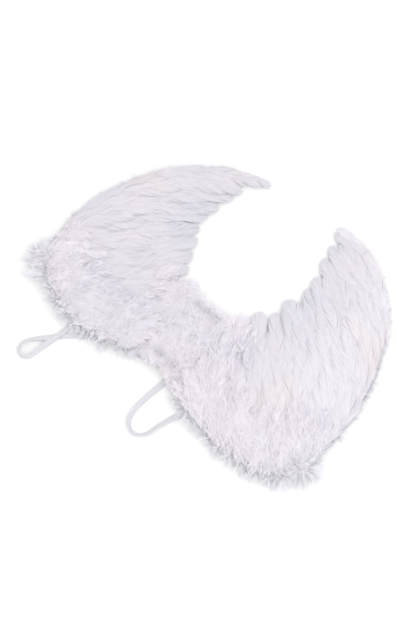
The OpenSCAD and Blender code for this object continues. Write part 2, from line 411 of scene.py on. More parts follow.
OVER_RISE, OVER_REACH = 1.8 * MM, 2.5
STEPS_BETWEEN = 6


def rounded(points, steps):
    """A smooth curve through the points (Catmull-Rom)."""
    p = np.vstack([2 * points[0] - points[1], points, 2 * points[-1] - points[-2]])
    t = (np.arange(steps) / steps)[:, None]
    out = []
    for i in range(1, len(p) - 2):
        a, b, c, d = p[i - 1], p[i], p[i + 1], p[i + 2]
        out.append(0.5 * (2 * b + (c - a) * t + (2 * a - 5 * b + 4 * c - d) * t ** 2
                          + (3 * b - a - 3 * c + d) * t ** 3))
    return np.vstack(out + [points[-1][None]])


def band(side):
    """Path and roll of one strap, dense and smooth."""
    route = np.array(ROUTES[side], float)
    roll = np.radians(route[:, 2])
    order = np.arange(len(route))
    rise = np.zeros(len(route))
    if side in OVER:
        near = np.maximum(0, 1 - np.abs(order - OVER[side]) / OVER_REACH)
        rise = OVER_RISE * near ** 0.7
    z = STRAP_LIFT + STRAP_T / 2 + np.abs(np.sin(roll)) * (STRAP_W - STRAP_T) / 2 + rise
    rows = np.column_stack([route[:, 0] * MM, route[:, 1] * MM, z, roll])
    dense = rounded(rows, STEPS_BETWEEN)
    return dense[:, :3], dense[:, 3]


# the lower half of the band's section, in half widths and half thicknesses
UNDERSIDE = [(-1, -0.4), (-0.93, -0.85), (-0.5, -1), (0, -0.94), (0.5, -1), (0.93, -0.85),
             (1, -0.4)]


def make_strap(side):
    """One shoulder loop: the band's section carried along its route."""
    path, roll = band(side)
    way = unit(np.gradient(path, axis=0))
    flat = unit(np.column_stack([beside(way), np.zeros(len(way))]))
    up = np.cross(flat, way)
    cos, sin = np.cos(roll)[:, None], np.sin(roll)[:, None]
    across, over = cos * flat + sin * up, cos * up - sin * flat
    half_w, half_t = STRAP_W / 2, STRAP_T / 2
    section = UNDERSIDE + [(-a, -b) for a, b in UNDERSIDE]
    n, k = len(path), len(section)
    rings = np.stack([path + across * (a * half_w) + over * (b * half_t) for a, b in section],
                     axis=1)
    i, j = np.meshgrid(np.arange(n - 1), np.arange(k), indexing="ij")
    nxt = (j + 1) % k
    faces = np.stack([i * k + j, i * k + nxt, (i + 1) * k + nxt, (i + 1) * k + j], axis=-1)
    mesh = new_mesh(f"{side}_elastic", [(rings, faces.reshape(-1, 4), 0.5)])
    run = np.concatenate([[0], np.cumsum(np.linalg.norm(np.diff(path, axis=0), axis=1))])
    set_values(mesh, "across", np.tile([a for a, b in section], n))
    set_values(mesh, "along", np.repeat(run, k))
    bm = bmesh.new()
    bm.from_mesh(mesh)
    bmesh.ops.holes_fill(bm, edges=[e for e in bm.edges if e.is_boundary], sides=0)
    bmesh.ops.recalc_face_normals(bm, faces=bm.faces)
    bm.to_mesh(mesh)
    bm.free()
    strap = new_piece(f"{side}_elastic_strap", mesh, ELASTIC, [f"{side}_strap"])
    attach(strap, "centre")


for side in SIDES:
    make_strap(side)

# ---- outlines

# The curves are given in millimetres for wings whose corner tuft ends at these two distances
TUFT_X, TUFT_Y = 300 * MM, 68 * MM
KX = box("right_corner_tuft")[1][0] / TUFT_X
KY = -box("right_corner_tuft")[0][1] / TUFT_Y
FOLD_X, _, AXIS_Z = frame["record"]["behaviour"]["joints"][1]["pos_m"]
BOARD_TOP = box("right_wing_board")[1][2]


def at(x, y):
    """A point in plan from millimetres, fitted to the frame's own size."""
    return np.array([x * MM * KX, y * MM * KY])


# Bezier curves of each wing, both drawn on the +X side: feather tips, outer edge, base fluff
TIPS = {
    "left": [at(50, 66), at(114, 146), at(136, 200), at(68, 296)],
    "right": [at(46, 78), at(124, 141), at(98, 226), at(70, 302)]}
OUTER = {
    "left": [at(270, -50), at(322, 96), at(214, 268), at(75, 297)],
    "right": [at(276, -48), at(320, 140), at(224, 312), at(72, 317)]}
BASE = {
    "left": [at(20, -58), at(79, -91), at(187, -138), at(270, -50)],
    "right": [at(20, -82), at(95, -106), at(262, -140), at(276, -48)]}


def bezier(c, t):
    t = np.asarray(t, float)[..., None]
    u = 1 - t
    return u ** 3 * c[0] + 3 * u * u * t * c[1] + 3 * u * t * t * c[2] + t ** 3 * c[3]


def bezier_way(c, t):
    t = np.asarray(t, float)[..., None]
    u = 1 - t
    return unit(u * u * (c[1] - c[0]) + 2 * u * t * (c[2] - c[1]) + t * t * (c[3] - c[2]))


def lie(u):
    """How steeply a feather points up from straight inwards, in degrees."""
    return 52 - 30 * u * u


def outline(side, steps=40):
    """One wing's whole outline in plan, counterclockwise."""
    t = np.linspace(0, 1, steps, endpoint=False)
    return np.vstack([bezier(c, t) for c in (BASE[side], OUTER[side], TIPS[side][::-1])])


def inside(points, polygon):
    """True for each point (..., 2) that lies in the polygon."""
    x, y = points[..., 0, None], points[..., 1, None]
    a, b = polygon, np.roll(polygon, -1, axis=0)
    crosses = (a[:, 1] > y) != (b[:, 1] > y)
    slope = (b[:, 0] - a[:, 0]) / np.where(b[:, 1] == a[:, 1], 1e-12, b[:, 1] - a[:, 1])
    return (crosses & (x < a[:, 0] + (y - a[:, 1]) * slope)).sum(-1) % 2 == 1


def nearest(points, curve, steps=80):
    """Distance from each point to a curve, and the curve's direction there."""
    t = np.linspace(0, 1, steps)
    line, ways = bezier(curve, t), bezier_way(curve, t)
    gaps = np.linalg.norm(points[:, None] - line[None], axis=-1)
    best = gaps.argmin(1)
    return gaps[np.arange(len(points)), best], ways[best]


WING = {side: outline(side) for side in SIDES}

# ---- feathers

QUILL_SHARE = 0.14   # of a vane's half width, where the vane starts
QUILL_POINTS = 9
QUILL_LIFT = 0.4 * MM   # above its own vane
LOWEST = 0.6 * MM   # of a vane above the floor
ROW_STEP = 36 * MM * KX
LAYER, LAYERS = 2.2 * MM, 4.0   # height of one row on the next, and how many pile up
TIP_LIFT = 1.8 * MM   # of the first row's tips above the board
COLUMN_PITCH = 0.056   # between feathers of a row, as a share of the tips' curve
SHORTEST = 33 * MM
FEATHER_SEED = {"left": 11, "right": 12}


def settle(edge_gap):
    """How much of the pile is left at this distance from the outer edge."""
    return 0.35 + 0.65 * smooth_step(edge_gap / (40 * MM))


def stack_height(points, side):
    """How high the feathers lie at each point: they pile up behind the inner edge."""
    gap, _ = nearest(points[:, :2], TIPS[side])
    edge, _ = nearest(points[:, :2], OUTER[side])
    return BOARD_TOP + TIP_LIFT + np.minimum(gap / ROW_STEP, LAYERS) * LAYER * settle(edge)


def vane_half(t, round_at):
    """A vane's half width along the feather, as a share of its widest."""
    t = np.clip(t, 0, 1)
    swell = QUILL_SHARE + (1 - QUILL_SHARE) * np.sin(np.pi / 2 * np.minimum(t / round_at, 1))
    end = np.sqrt(np.clip(1 - ((t - round_at) / (1 - round_at)) ** 2, 0, 1))
    return np.where(t > round_at, end, swell)


def vanes(rng, tips, heading, length, width, z_base, z_tip, shade, barbs=42, lean=20.0,
          clump=1.0, loft=0.0, cup=0.9 * MM, round_at=0.74, strand=1.8):
    """Feathers as a quill and separate barbs that end on a rounded outline.

    tips (n, 2) is where they end in plan, heading the way they point, in radians. Arrays of
    barbs are (feather, side, barb), and a last axis holds the four points along a barb.
    """
    n = len(tips)
    lean = math.radians(lean)

    # where along the feather each barb leaves the quill, and where it meets the outline
    start = 0.08 + 0.88 * np.linspace(0, 1, barbs) ** 0.92
    root = np.broadcast_to(start, (n, 2, barbs))
    wide = (width / 2)[:, None, None]
    long = length[:, None, None]
    end = root + 0.1
    for _ in range(14):
        reach = wide * vane_half(end, round_at) / (long * math.tan(lean))
        end = 0.5 * end + 0.5 * np.minimum(root + reach, 1.0)
    out = wide * vane_half(end, round_at)

    # barbs stray together, in groups of about five
    group = (np.arange(barbs)[None, None] + rng.integers(0, 5, (n, 2, 1))) // 5
    stray = np.take_along_axis(rng.normal(size=(n, 2, barbs // 5 + 2, 3)), group[..., None], axis=2)
    stray = clump * (stray + 0.35 * rng.normal(size=(n, 2, barbs, 3)))
    end = end + 0.010 * stray[..., 0]
    out = out * (1 + 0.07 * stray[..., 1])
    rise = 0.14 * MM * stray[..., 2] + loft * rng.random((n, 2, barbs))
    sign = np.array([-1.0, 1.0])[None, :, None]

    steps = np.array([0.0, 0.34, 0.68, 1.0])
    bulge = np.array([0.0, 0.13, 0.11, 0.0])
    x = sign[..., None] * (out[..., None] * (steps + bulge) - 0.35 * MM * (1 - steps))
    t = root[..., None] + (end - root)[..., None] * steps
    z = rise[..., None] * steps ** 2
    twist = rng.normal(size=(n, 2, barbs, 1)) * 0.12

    run = np.gradient(np.stack([x, t * long[..., None]], -1), axis=3)
    side = unit(np.concatenate([-run[..., 1:], run[..., :1],
                                (twist * np.linalg.norm(run, axis=-1))[..., None]], -1))
    gap = length * 0.88 / barbs * math.sin(lean)
    widths = (strand * gap)[:, None, None, None] * np.array([0.9, 1.0, 0.85, 0.35])
    widths = widths * (1 + 0.1 * rng.normal(size=(n, 2, barbs, 1)))

    # the feather's own bow, arch, droop and roll
    bow = rng.normal(size=n) * 0.03 * length
    arch = (1.5 * MM + 1.0 * MM * rng.random(n)) * (length / 0.1)
    droop = 2.3 * MM + 1.2 * MM * rng.random(n)
    roll = rng.normal(size=n) * 0.05

    ahead = pointing(heading)
    right = beside(ahead)

    def each(a, x):
        """A number or a direction for each feather, shaped to go with x."""
        return a.reshape((n,) + (1,) * (x.ndim - 1) + a.shape[1:])

    def place(x, t, z):
        """Points from their place across, along (0 to 1) and above a feather."""
        x = x + each(bow, x) * (t * t - t)
        y = each(length, x) * (t - 1)
        sag = cup * (x / each(width / 2, x)) ** 2
        on = np.clip(t, 0, 1)
        height = (each(z_base, x) + each(z_tip - z_base, x) * t
                  + each(arch, x) * np.sin(np.pi * on) - each(droop, x) * on ** 5
                  - sag + x * each(roll, x) + z)
        plan = each(tips, x) + each(ahead, x) * y[..., None] + each(right, x) * x[..., None]
        return np.concatenate([plan, np.maximum(height, LOWEST)[..., None]], -1)

    def turn(v):
        """Directions from ones that point across, along and above a feather."""
        plan = each(right, v[..., 0]) * v[..., :1] + each(ahead, v[..., 0]) * v[..., 1:2]
        return np.concatenate([plan, v[..., 2:]], -1)

    def strips(a, *tail):
        return a.reshape((n * 2 * barbs, len(steps)) + tail)

    tone = shade[:, None, None] + 0.05 * stray[..., 0] + 0.05 * rng.normal(size=(n, 2, barbs))
    tone = tone[..., None] + 0.06 * (steps - 0.5) - 0.16 * (t - 0.6)
    barb = ribbons(strips(place(x, t, z), 3), strips(widths), strips(turn(side), 3),
                   strips(tone))

    middle = np.zeros((n, QUILL_POINTS))
    quill_t = np.broadcast_to(np.linspace(0, 0.985, QUILL_POINTS), middle.shape)
    quill_w = np.linspace(1.3, 0.3, QUILL_POINTS) * MM * (width / (28 * MM))[:, None]
    quill_way = np.broadcast_to([1.0, 0.0, 0.0], (n, QUILL_POINTS, 3))
    quill = ribbons(place(middle, quill_t, middle + QUILL_LIFT), quill_w, turn(quill_way),
                    np.repeat(np.clip(shade + 0.2, 0, 1)[:, None], QUILL_POINTS, 1))
    return [barb, quill]


ROWS = ["primary", "secondary", "tertiary", "covert", "shoulder"]
FEATHER_L, FEATHER_W = 108 * MM, 27 * MM
STEPS_BACK = np.arange(11) * 0.7   # where rows lie, counted in CAD rows from the inner edge


def tip_line(u, side):
    """Where the first row's tips lie; below zero the line runs down beside the fold."""
    start = TIPS[side][0] + np.array([-14.0, 0]) * MM
    below = start + np.clip(u, -1, 0)[:, None] * np.array([0, 280 * MM])
    return np.where((u < 0)[:, None], below, bezier(TIPS[side], np.maximum(u, 0)))


def row_layout(rng, side, k):
    """Tips, headings, lengths and edge distances of the feathers k rows behind the inner edge."""
    columns = 25 if k else 10
    u = np.linspace(-0.4 if k else 0, 1, columns)
    u = u + rng.uniform(-0.5, 0.5) * COLUMN_PITCH * (k > 0)
    u = np.clip(u + rng.normal(size=columns) * 0.012, -1, 1)
    angle = np.radians(lie(np.maximum(u, 0)))
    behind = pointing(-angle)
    slip = rng.normal(size=(columns, 1)) * (5.5 if k == 0 else 3.0) * MM
    tips = tip_line(u, side) + behind * (ROW_STEP * k + slip)
    if k:
        tips, behind = (a[inside(tips, WING[side])] for a in (tips, behind))
    ahead = -behind
    gap, way = nearest(tips, OUTER[side])
    follow = 0.75 * (1 - smooth_step(gap / (75 * MM)))[:, None]
    ahead = unit(ahead * (1 - follow) + way * follow)
    heading = heading_of(ahead) + rng.normal(size=len(tips)) * 0.06
    ahead = pointing(heading)
    reach = np.arange(30, 125, 3) * MM
    room = inside(tips[:, None] - ahead[:, None] * reach[:, None], WING[side])
    length = np.where(room.all(1), reach[-1], reach[np.argmin(room, axis=1)])
    length = np.minimum(length, FEATHER_L * (1 + 0.08 * rng.normal(size=len(tips))))
    keep = length > SHORTEST
    return tips[keep], heading[keep], length[keep], gap[keep]


def edge_feathers(rng, side, shade):
    """Feathers that lie along the outer edge and give it its smooth line."""
    t = np.linspace(0.12, 1.0, 17)
    inset = rng.uniform(7, 11, len(t)) * MM * np.linspace(1, 0.55, len(t))
    way = bezier_way(OUTER[side], t)
    tips = bezier(OUTER[side], t) - beside(way) * inset[:, None]
    n = len(t)
    turned = heading_of(way) - 0.10 + rng.normal(size=n) * 0.03
    height = stack_height(tips, side)
    return vanes(rng, tips, turned, rng.uniform(72, 92, n) * MM, rng.uniform(19, 23, n) * MM,
                 height - 1.0 * MM, height + 0.6 * MM, shade + 0.06 * rng.normal(size=n))


def blunt_feather(rng):
    """The one broad feather that has swung out of the right wing's inner edge."""
    # heading, length, width, heights of its base and tip, and shade
    rest = (np.array([value]) for value in (math.radians(158), 78 * MM, 26 * MM,
                                            BOARD_TOP + 2 * MM, BOARD_TOP + 3.5 * MM, 0.3))
    return vanes(rng, at(84, 152)[None], *rest, round_at=0.86, lean=30.0)


# shade of the first row, what each row behind it adds, and the shade along the outer edge; the left
# wing's lower values are painted shade and the right wing's higher ones painted light, as if the
# lamp stood to the right
ROW_SHADE_AND_PAINTED_SIDE_LIGHT = {"left": (0.12, 0.115, 0.42), "right": (0.30, 0.155, 0.82)}


def make_feathers(side):
    """All of one wing's vanes, shared out over its row nodes."""
    rng = np.random.default_rng(FEATHER_SEED[side])
    rows = {name: [] for name in ROWS}
    # these numbers carry painted shade on the left wing and painted light on the right wing
    first, further, at_edge = ROW_SHADE_AND_PAINTED_SIDE_LIGHT[side]
    for k in STEPS_BACK:
        tips, heading, length, gap = row_layout(rng, side, k)
        if not len(tips):
            continue
        n = len(tips)
        stack, share = min(k, LAYERS) * LAYER, settle(gap)
        z_tip = BOARD_TOP + TIP_LIFT + stack * share + rng.random(n) * 0.8 * MM
        z_base = BOARD_TOP + 1.0 * MM + stack * 0.5 * share
        width = FEATHER_W * (1 + 0.08 * rng.normal(size=n)) * (0.65 + 0.35 * length / FEATHER_L)
        if k == 0:
            width = width * (0.76 + 0.24 * smooth_step(gap / (90 * MM)))
        shade = first + further * min(k, 3) + 0.05 * rng.normal(size=n)
        name = ROWS[min(int(k), len(ROWS) - 1)]
        rows[name] += vanes(rng, tips, heading, length, width, z_base, z_tip, shade)
    rows["covert"] += edge_feathers(rng, side, at_edge)
    if side == "right":
        rows["primary"] += blunt_feather(rng)
    for name, parts in rows.items():
        piece = side_piece(side, f"{name}_vanes", parts, FEATHER,
                           [f"{side}_{name}_feathers"])
        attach(piece, f"{side}_wing")


for side in SIDES:
    make_feathers(side)

# ---- down, marabou and fringe

HIGHEST = 31 * MM
FOLD_T = 0.13   # the base curve's share that the fluff over the fold covers
TRIM_RUN = (11 * MM, 4 * MM, 13 * MM)   # inset from the base curve, lowest and highest root
HAIR_RUN = (4 * MM, 3 * MM, 12 * MM)
INWARD_UP = np.array([-0.62, 0.72, 0.55])   # the way most of a wing's down points
FLUFF_SEED = {"left": 70, "right": 71}
MIDDLE_SEED = 80


def strands(rng, roots, ways, barbs, length, width, spread=0.28, curl=0.35, droop=0.25,
            shade=0.55, steps=5):
    """Plumelets: each root sends out a small fan of fine barbs that curl and sink."""
    n = len(roots)
    count = n * barbs
    fan = unit(np.repeat(ways, barbs, axis=0) + rng.normal(size=(count, 3)) * spread)
    side = unit(np.cross(fan, rng.normal(size=(count, 3))))
    reach = length * np.repeat(0.7 + 0.6 * rng.random(n), barbs) * (0.55 + 0.5 * rng.random(count))
    t = np.linspace(0, 1, steps)[None, :, None]
    bend = curl * rng.normal(size=(count, 1, 1))
    run = reach[:, None, None] * (t * fan[:, None] + bend * t ** 2 * side[:, None])
    run[..., 2] -= (droop * reach[:, None]) * t[..., 0] ** 2
    points = np.repeat(roots, barbs, axis=0)[:, None] + run
    points[..., 2] = np.clip(points[..., 2], 0.4 * MM + 0.5 * MM * rng.random((count, 1)),
                             HIGHEST - 3 * MM * rng.random((count, 1)))
    widths = width * (0.8 + 0.4 * rng.random((count, 1))) * np.linspace(1, 0.3, steps)[None]
    flat = unit(np.cross(fan, rng.normal(size=(count, 3)) * 0.3 + np.array([0, 0, 1.0])))
    tone = np.repeat(shade + 0.10 * rng.normal(size=n), barbs)[:, None]
    tone = tone + 0.12 * rng.normal(size=(count, 1)) + np.linspace(-0.15, 0.1, steps)[None]
    return ribbons(points, widths, np.broadcast_to(flat[:, None], points.shape), tone)


def along(c, rng, count, inset, from_t=0.0, to_t=1.0):
    """Random points beside a curve, inset from it, with the way along it and the way outwards."""
    t = rng.uniform(from_t, to_t, count)
    way = bezier_way(c, t)
    out = beside(way)
    return bezier(c, t) - out * np.reshape(inset, (-1, 1)), way, out


def boa(rng, c, inset, low, high, count, length, barbs=11, tilt=0.5, from_t=0.0, to_t=1.0,
        thick=0.5 * MM, **look):
    """Marabou bound along a curve: plumelets that stand out all around it."""
    spot, way, out = along(c, rng, count, inset, from_t, to_t)
    turn = rng.uniform(-0.15, 1.15, count) * math.pi
    plan = out * np.cos(turn)[:, None] + way * rng.normal(size=(count, 1)) * tilt
    ways = unit(np.column_stack([plan, np.sin(turn) * 0.8]))
    roots = np.column_stack([spot, rng.uniform(low, high, count)])
    roots = roots + ways * rng.random((count, 1)) * 3 * MM
    return strands(rng, roots, ways, barbs, length, thick, **look)


def burst(rng, middle, radius, count, length, out_way, barbs=12, **look):
    """A tuft: plumelets that all start near one point."""
    ways = unit(rng.normal(size=(count, 3)) * [1, 1, 0.6] + np.array(out_way))
    roots = np.array(middle) + ways * rng.uniform(0.35, 1, (count, 1)) * radius
    return strands(rng, roots, ways, barbs, length, 0.55 * MM, **look)


def plumes(rng, spots, heading, height, size=(0.034, 0.056), shade=0.3):
    """Small downy feathers with loose barbs, lying on whatever is under them."""
    n = len(spots)
    length = rng.uniform(*size, n)
    heading = heading + rng.normal(size=n) * 0.3
    tips = spots + pointing(heading) * (0.5 * length)[:, None]
    width = length * rng.uniform(0.36, 0.5, n)
    z = height + rng.random(n) * (3.0 * MM)
    return vanes(rng, tips, heading, length, width, z - 1.0 * MM, z + 1.2 * MM,
                 shade + 0.06 * rng.normal(size=n), barbs=26, lean=32.0, clump=3.0, loft=2.4 * MM,
                 cup=0.6 * MM, round_at=0.6, strand=0.85)


def down_weight(points, side):
    """1 where down covers a wing, 0 out on the bare feathers."""
    low, _ = nearest(points, BASE[side])
    root = (points[:, 0] - FOLD_X) / (85 * MM)
    base = 1 - smooth_step((low / MM - 35) / 60)
    hinge = (1 - smooth_step(root)) * (points[:, 1] < 70 * MM)
    return np.maximum(base, hinge)


def down_spots(rng, side, pitch, clear):
    """Points over the down's patch of one wing, drawn on the +X side and clear of the fold line."""
    spots = uneven_grid(rng, WING[side].min(0), WING[side].max(0), pitch)
    spots = spots[inside(spots, WING[side])]
    spots = spots[rng.random(len(spots)) < down_weight(spots, side)]
    return spots[spots[:, 0] > FOLD_X + clear]


def down_parts(rng, side):
    """A layer of small downy feathers, and finer fuzz over it."""
    spots = down_spots(rng, side, 8.0 * MM, 22 * MM)
    angle = math.pi - np.radians(lie(0.2))
    back = spots - pointing(angle) * 20 * MM
    spots = spots[inside(back, WING[side])]
    layer = plumes(rng, spots, angle, stack_height(spots, side),
                   shade=0.36 * down_weight(spots, side))
    fuzz = down_spots(rng, side, 4.6 * MM, 16 * MM)
    roots = np.column_stack([fuzz, stack_height(fuzz, side) + 3 * MM])
    ways = unit(INWARD_UP + rng.normal(size=(len(roots), 3)) * 0.35)
    return layer + [strands(rng, roots, ways, 8, 15 * MM, 0.45 * MM, droop=0.3, shade=0.8)]


def trim_parts(rng, side, longer=420, fans=80):
    """The marabou trim, and longer barbs from it that lie back over the wing."""
    spot, way, out = along(BASE[side], rng, longer, rng.uniform(6, 24, longer) * MM, FOLD_T)
    roots = np.column_stack([spot, rng.uniform(6, 15, longer) * MM])
    plan = out * rng.uniform(-1.2, 0.2, (longer, 1)) + way * rng.normal(size=(longer, 1)) * 0.4
    ways = unit(np.column_stack([plan, rng.uniform(0.0, 0.6, longer)]))
    edge, _, outward = along(BASE[side], rng, fans, 15 * MM, FOLD_T)
    heading = heading_of(outward) + rng.normal(size=fans) * 0.35
    fan = plumes(rng, edge, heading, rng.uniform(4, 12, fans) * MM, (0.026, 0.040))
    return fan + [boa(rng, BASE[side], *TRIM_RUN, 1150, 11 * MM, from_t=FOLD_T, shade=0.85),
                  strands(rng, roots, ways, 9, 15 * MM, 0.5 * MM, shade=0.85)]


def fringe_parts(rng, side):
    """Short barbs of the outermost feathers, past the outer edge, with a few long strays."""
    near = boa(rng, OUTER[side], 1.5 * MM, 2.5 * MM, 6 * MM, 900, 7 * MM, barbs=4, tilt=1.0,
               from_t=0.02, to_t=0.86, shade=0.3)
    far = boa(rng, OUTER[side], 1 * MM, 3 * MM, 6 * MM, 130, 14 * MM, barbs=6, tilt=1.2,
              from_t=0.05, to_t=0.9, shade=0.45, thick=0.6 * MM, spread=0.1, curl=0.15)
    return [near, far]


def tuft_middle(inset):
    """The corner tuft's middle, moved in from its outer edge and a little down."""
    low, high = box("right_corner_tuft")
    return (low + high) / 2 - np.array([inset, 0, 1 * MM])


def tuft_parts(rng, _, fans=44):
    """The bushy tuft at a wing's outer lower corner."""
    middle = tuft_middle(14 * MM)
    spots = middle[:2] + rng.normal(size=(fans, 2)) * [5 * MM, 14 * MM]
    heading = heading_of(spots - at(222, -30)) + rng.normal(size=fans) * 0.3
    fan = plumes(rng, spots, heading, rng.uniform(3, 15, fans) * MM, (0.024, 0.034))
    return fan + [burst(rng, middle, 14 * MM, 260, 9 * MM, (0.5, -0.1, 0.1), shade=0.9)]


def hair_parts(rng, side):
    """Longer, greyer hairs that stand out of the base border and the corner tuft."""
    look = {"barbs": 9, "shade": 0.4, "spread": 0.07, "curl": 0.12}
    return [boa(rng, BASE[side], *HAIR_RUN, 340, 22 * MM, tilt=0.6, from_t=FOLD_T,
                thick=0.6 * MM, **look),
            boa(rng, BASE[side], *HAIR_RUN, 60, 26 * MM, tilt=0.4, from_t=0.74, **look),
            burst(rng, tuft_middle(8 * MM), 16 * MM, 75, 26 * MM, (1.0, 0.0, 0.1), **look)]


# piece, the node it stands for if any, what draws it, its material and its slot
PARTS = [("base_trim", "base_marabou", trim_parts, MARABOU, "marabou"),
         ("corner_plume", "corner_tuft", tuft_parts, MARABOU, "marabou"),
         ("outer_fringe", "edge_fringe", fringe_parts, FRINGE, "fringe"),
         ("border_hairs", "", hair_parts, HAIR, "marabou"),
         ("down_layer", "wing_down", down_parts, DOWN, "down")]
for side in SIDES:
    rng = np.random.default_rng(FLUFF_SEED[side])
    for name, node, build, material, slot in PARTS:
        nodes = [f"{side}_{node}"] if node else ()
        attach(side_piece(side, name, build(rng, side), material, nodes), f"{side}_wing")

# ---- fluff on the middle and over each fold


def middle_spots(rng, low, high, pitch):
    """Points between two x values, from the middle's base fluff to its top fluff."""
    spots = uneven_grid(rng, (low, -90 * MM), (high, 80 * MM), pitch)
    x = [-FOLD_X * 2, 0, FOLD_X * 2]
    top = np.interp(spots[:, 0], x, [58 * MM, 54 * MM, 68 * MM])
    base = np.interp(spots[:, 0], x, [-74 * MM, -58 * MM, -78 * MM])
    return spots[(spots[:, 1] < top * KY) & (spots[:, 1] > base * KY)]


def middle_height(spots):
    """How high the middle's fluff lies, highest at its centre line."""
    return BOARD_TOP + 2 * MM + 8 * MM * (1 - (spots[:, 0] / (90 * MM)) ** 2)


def middle_fluff(rng, low, high):
    """Small downy feathers between two x values, with finer fuzz over them."""
    spots = middle_spots(rng, low, high, 8 * MM)
    lean = np.clip(spots[:, 0] / (60 * MM), -1, 1)
    heading = math.pi / 2 + 0.55 * lean + rng.normal(size=len(spots)) * 0.5
    heading = np.where(spots[:, 1] < -35 * MM, -heading, heading)
    layer = plumes(rng, spots, heading, middle_height(spots) - 3 * MM, (0.026, 0.042))
    fuzz = middle_spots(rng, low, high, 5.5 * MM)
    roots = np.column_stack([fuzz, middle_height(fuzz)])
    up = np.where(fuzz[:, 1] < -35 * MM, -1.0, 1.0)
    ways = np.column_stack([fuzz[:, 0] / (60 * MM) * -0.6, up, np.full(len(fuzz), 0.6)])
    ways = unit(ways + rng.normal(size=ways.shape) * 0.45)
    return layer + [strands(rng, roots, ways, 9, 13 * MM, 0.45 * MM, shade=0.8, droop=0.3)]


def middle_trim(rng, node, ends, shade):
    """Marabou along half of the middle's top or base edge, from and to these shares of it."""
    low, high = box(node)
    middle = (low + high) / 2
    run = [np.array([x, middle[1]]) for x in np.linspace(*ends, 4) * high[0]]
    return [boa(rng, run, 0.0, middle[2] - 6 * MM, middle[2] + 1 * MM, 165, 10 * MM, shade=shade)]


rng = np.random.default_rng(MIDDLE_SEED)
for side, sign in SIDES.items():
    # the middle's fluff is in halves, because a piece flattens with one joint only
    top, base = "centre_top_marabou", "centre_base_marabou"
    halves = [
        ("centre_fluff", "centre_down", middle_fluff(rng, 0, 20 * MM), DOWN, "down"),
        ("centre_top_trim", top, middle_trim(rng, top, (1, 0), 0.3), MARABOU, "marabou"),
        ("centre_base_trim", base, middle_trim(rng, base, (0, 1), 0.4), MARABOU, "marabou")]
    for name, node, parts, material, slot in halves:
        half = side_piece(side, name, parts, material, [node])
        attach(half, "centre")
        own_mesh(half)
    parts = middle_fluff(rng, 14 * MM, 58 * MM)
    parts.append(boa(rng, BASE[side], *TRIM_RUN, 150, 11 * MM, to_t=FOLD_T, shade=0.85))
    over = side_piece(side, "fold_fluff", parts, DOWN)
    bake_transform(over)

# ---- felt, pad and fold cloths

GROOVE_AT = 0.89   # the pad's stitched groove, as a share of its half width
HINGE_X, HINGE_Y = FOLD_X + 2 * MM, 44 * MM   # the wing board's corners at the fold


def flat_cloth(polygon, low, thick, cell=9 * MM, seed=5, wave=0.12 * MM):
    """A closed sheet over a polygon in plan, with a fine uneven surface."""
    grid = grid_points(polygon.min(0), polygon.max(0), cell)
    near = np.linalg.norm(grid[:, None] - polygon[None], axis=-1).min(1)
    grid = grid[inside(grid, polygon) & (near > cell * 0.6)]
    points = [Vector(p) for p in np.vstack([polygon, grid])]
    ring = list(range(len(polygon)))
    plan, _, tris, *_ = geometry.delaunay_2d_cdt(points, [], [ring], 1, 1e-6)
    plan, tris = np.array([tuple(p) for p in plan]), np.array([tuple(t) for t in tris])
    n = len(plan)
    bump = np.random.default_rng(seed).normal(size=(n, 2)) * wave
    verts = np.vstack([np.column_stack([plan, low + thick + bump[:, 0]]),
                       np.column_stack([plan, low + bump[:, 1]])])
    edges = np.concatenate([tris[:, [0, 1]], tris[:, [1, 2]], tris[:, [2, 0]]])
    # the rim is every edge that no second triangle runs the other way
    back = {(b, a) for a, b in map(tuple, edges)}
    rim = np.array([e for e in map(tuple, edges) if e not in back])
    walls = np.concatenate([np.column_stack([rim[:, 1], rim[:, 0], rim[:, 0] + n]),
                            np.column_stack([rim[:, 1], rim[:, 0] + n, rim[:, 1] + n])])
    return verts, np.concatenate([tris, tris[:, ::-1] + n, walls]), np.full(2 * n, 0.5)


def cushion(low, high, sides=72):
    """A thin quilted pad in a box: soft rounded rim, with a stitched groove just inside it."""
    turn = np.linspace(0, 2 * np.pi, sides, endpoint=False)
    middle, half = (low + high) / 2, (high - low) / 2
    rim = np.stack([np.sign(f) * np.abs(f) ** 0.3 for f in (np.cos(turn), np.sin(turn))], -1)
    s = np.array([0.2, 0.45, 0.68, 0.8, 0.86, GROOVE_AT, 0.92, 0.96, 0.985, 1.0])
    dip = 1 - 0.4 * np.exp(-((s - GROOVE_AT) / 0.02) ** 2)
    rise = np.sqrt(1 - s ** 14) * dip * (0.92 + 0.08 * (1 - s))
    plan = middle[:2] + rim[None] * half[:2] * s[:, None, None]
    height = np.broadcast_to(middle[2] + half[2] * rise[:, None], plan.shape[:2])
    top = np.concatenate([plan, height[..., None]], -1)
    under = top.copy()
    under[..., 2] = 2 * middle[2] - top[..., 2]
    rings = np.concatenate([top, under[-2::-1]])
    n, k = len(rings), sides
    i, j = (a.ravel() for a in np.meshgrid(np.arange(n - 1), np.arange(k), indexing="ij"))
    a, b = i * k + j, i * k + (j + 1) % k
    walls = np.concatenate([np.column_stack([a, a + k, b + k]), np.column_stack([a, b + k, b])])
    poles = np.array([[*middle[:2], middle[2] + half[2]], [*middle[:2], middle[2] - half[2]]])
    spin, last = np.arange(k), (n - 1) * k
    after = (spin + 1) % k
    caps = np.concatenate([np.column_stack([spin, after, 0 * spin + n * k]),
                           np.column_stack([after + last, spin + last, 0 * spin + n * k + 1])])
    groove = plan[list(s).index(GROOVE_AT)]
    return (np.vstack([rings.reshape(-1, 3), poles]), np.concatenate([walls, caps]),
            np.full(n * k + 2, 0.5)), np.vstack([groove, groove[:1]])


